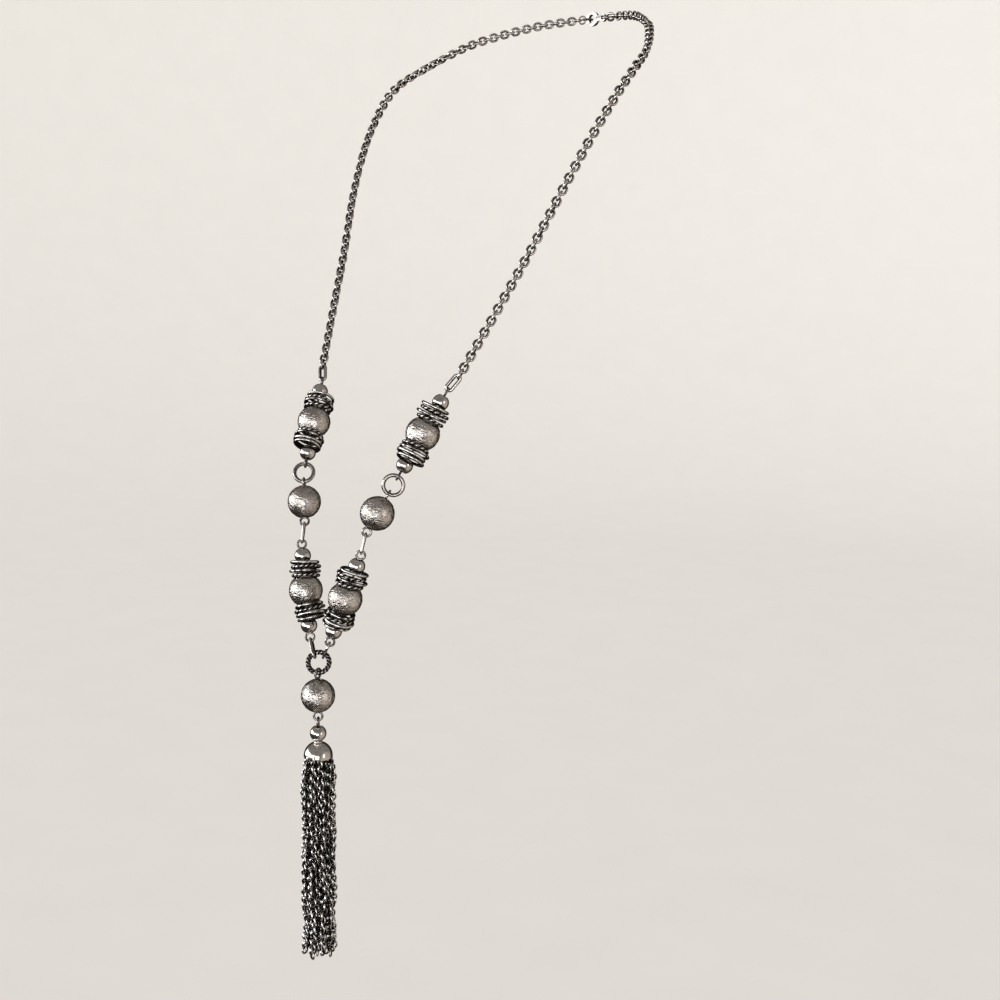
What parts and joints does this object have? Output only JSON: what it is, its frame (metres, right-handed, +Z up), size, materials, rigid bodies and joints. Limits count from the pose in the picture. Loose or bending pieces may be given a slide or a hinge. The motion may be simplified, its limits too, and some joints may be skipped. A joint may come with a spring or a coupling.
{
  "type": "lariat necklace",
  "caption": "Long lariat necklace: link chain, large brushed beads between stacks of spacer rings, plain rings, and a bead drop that ends in a chain tassel under a domed cap.",
  "frame": {"origin": "the middle of the closed clasp at the nape, where the necklace hangs on the neck", "axes": "+Z up, the wearer faces -Y, +X towards the wearer's left"},
  "size_m": [0.1486, 0.2095, 0.434],
  "materials": {
    "silver": "satin antique silver tone with polished small beads",
    "dark_silver": "oxidised silver tone, bright on the raised edges"
  },
  "bodies": {
    "strands": {"chain_left": "dark_silver", "chain_right": "dark_silver", "clasp": "silver", "clasp_ring": "silver", "end_link_left": "silver", "end_link_right": "silver", "upper_pin_left": "silver", "upper_bead_left": "silver", "upper_top_bead_left": "silver", "upper_low_bead_left": "silver", "upper_top_rings_left": "dark_silver", "upper_low_rings_left": "dark_silver", "upper_pin_right": "silver", "upper_bead_right": "silver", "upper_top_bead_right": "silver", "upper_low_bead_right": "silver", "upper_top_rings_right": "dark_silver", "upper_low_rings_right": "dark_silver", "jump_ring_left": "silver", "jump_ring_right": "silver", "single_pin_left": "silver", "single_bead_left": "silver", "single_pin_right": "silver", "single_bead_right": "silver", "middle_link_left": "silver", "middle_link_right": "silver", "lower_pin_left": "silver", "lower_bead_left": "silver", "lower_top_bead_left": "silver", "lower_low_bead_left": "silver", "lower_top_rings_left": "dark_silver", "lower_low_rings_left": "dark_silver", "lower_pin_right": "silver", "lower_bead_right": "silver", "lower_top_bead_right": "silver", "lower_low_bead_right": "silver", "lower_top_rings_right": "dark_silver", "lower_low_rings_right": "dark_silver", "ring_link_left": "silver", "ring_link_right": "silver", "textured_ring": "dark_silver"},
    "drop": {"drop_pin": "silver", "drop_bead": "silver"},
    "tassel_drop": {"tassel_pin": "silver", "tassel_bead": "silver", "tassel_cap": "silver", "tassel": "dark_silver"}
  },
  "joints": [
    {"name": "drop_swing", "type": "hinge", "parent": "strands", "child": "drop", "pos_m": [0.00286, -0.19888, -0.29972], "axis": [0.788, 0.6157, 0], "range_deg": [-50, 30]},
    {"name": "tassel_swing", "type": "hinge", "parent": "drop", "child": "tassel_drop", "pos_m": [0.00286, -0.19888, -0.32092], "axis": [0.788, 0.6157, 0], "range_deg": [-50, 50]}
  ]
}
